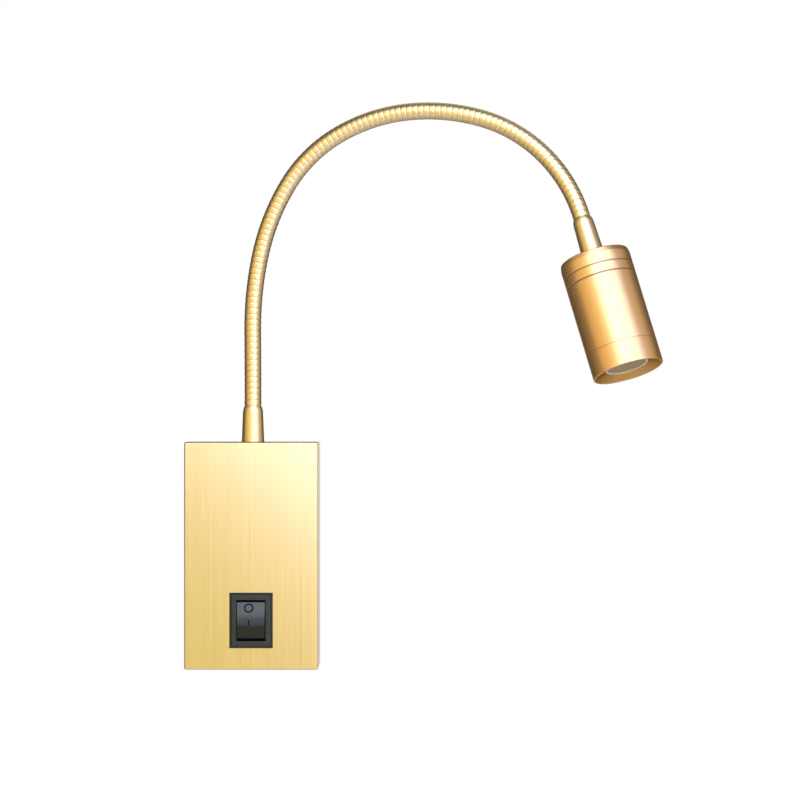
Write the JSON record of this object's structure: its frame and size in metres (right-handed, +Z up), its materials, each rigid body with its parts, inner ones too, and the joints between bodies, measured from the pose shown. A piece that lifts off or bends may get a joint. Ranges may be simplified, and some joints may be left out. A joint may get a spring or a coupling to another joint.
{
  "type": "bedside wall reading lamp",
  "caption": "Wall reading lamp: upright rectangular wall box with rocker switch, ribbed flexible neck arching to a round spot head that points down.",
  "frame": {"origin": "centre of the wall side of the wall box, on the face of the bracket that lies on the wall", "axes": "+X to the right as seen from the room, +Y into the wall, +Z up; the lamp stands in y < 0 and faces -Y"},
  "size_m": [0.1753, 0.0831, 0.2112],
  "materials": {
    "cover_metal": "brushed upright, gold",
    "neck_metal": "satin gold",
    "head_metal": "gold anodised, satin",
    "zinc_steel": "zinc plated",
    "brass_screw": "plain",
    "black_rubber": "matt",
    "white_nylon": "moulded",
    "driver_plastic": "moulded",
    "circuit_board": "solder mask",
    "switch_black": "moulded, fine spark finish",
    "rocker_black": "moulded, smooth",
    "lens_glass": "clear with fine texture",
    "holder_black": "moulded",
    "star_aluminium": "white coated",
    "emitter_white": "phosphor"
  },
  "bodies": {
    "root": {"wall_box_cover": "cover_metal", "wall_bracket": "zinc_steel", "cover_screws": "brass_screw", "cable_grommet": "black_rubber", "earth_screw": "brass_screw", "terminal_block": "white_nylon", "driver_case": "driver_plastic", "driver_lid": "driver_plastic", "driver_board": "circuit_board", "switch_housing": "switch_black", "switch_terminals": "brass_screw", "base_ferrule": "neck_metal", "base_nut": "zinc_steel"},
    "rocker": {"switch_rocker": "rocker_black"},
    "neck_01": {"neck_link_01": "neck_metal"},
    "neck_02": {"neck_link_02": "neck_metal"},
    "neck_03": {"neck_link_03": "neck_metal"},
    "neck_04": {"neck_link_04": "neck_metal"},
    "neck_05": {"neck_link_05": "neck_metal"},
    "neck_06": {"neck_link_06": "neck_metal"},
    "neck_07": {"neck_link_07": "neck_metal"},
    "neck_08": {"neck_link_08": "neck_metal"},
    "head": {"head_ferrule": "neck_metal", "head_cap": "head_metal", "head_body": "head_metal", "front_ring": "head_metal", "lens": "lens_glass", "lens_holder": "holder_black", "star_board": "star_aluminium", "light_emitter": "emitter_white"}
  },
  "joints": [
    {"name": "neck_side_1", "type": "hinge", "parent": "root", "child": "neck_01", "pos_m": [0, -0.015, 0.0561], "axis": [0, -1, 0], "range_deg": [-12, 12]},
    {"name": "neck_front_2", "type": "hinge", "parent": "neck_01", "child": "neck_02", "pos_m": [-0.00007, -0.01574, 0.08429], "axis": [1, 0, 0.0052], "range_deg": [-8, 12]},
    {"name": "neck_side_3", "type": "hinge", "parent": "neck_02", "child": "neck_03", "pos_m": [0.0028, -0.0182, 0.11217], "axis": [-0.0255, -0.9925, -0.1192], "range_deg": [-12, 12]},
    {"name": "neck_front_4", "type": "hinge", "parent": "neck_03", "child": "neck_04", "pos_m": [0.01293, -0.02241, 0.13801], "axis": [0.859, 0, -0.512], "range_deg": [-8, 12]},
    {"name": "neck_side_5", "type": "hinge", "parent": "neck_04", "child": "neck_05", "pos_m": [0.03242, -0.02803, 0.15717], "axis": [-0.188, -0.9763, -0.1072], "range_deg": [-12, 12]},
    {"name": "neck_front_6", "type": "hinge", "parent": "neck_05", "child": "neck_06", "pos_m": [0.05843, -0.03447, 0.16524], "axis": [0.0819, 0, -0.9966], "range_deg": [-8, 12]},
    {"name": "neck_side_7", "type": "hinge", "parent": "neck_06", "child": "neck_07", "pos_m": [0.08549, -0.04125, 0.16233], "axis": [-0.2314, -0.9703, 0.0707], "range_deg": [-12, 12]},
    {"name": "neck_front_8", "type": "hinge", "parent": "neck_07", "child": "neck_08", "pos_m": [0.10848, -0.04829, 0.14816], "axis": [-0.723, 0, -0.6909], "range_deg": [-8, 12]},
    {"name": "neck_side_9", "type": "hinge", "parent": "neck_08", "child": "head", "pos_m": [0.12189, -0.05543, 0.12471], "axis": [-0.0682, -0.9681, 0.2409], "range_deg": [-12, 12]},
    {"name": "rocker_press", "type": "hinge", "parent": "root", "child": "rocker", "pos_m": [0, -0.0292, -0.024], "axis": [1, 0, 0], "range_deg": [0, 22]}
  ]
}
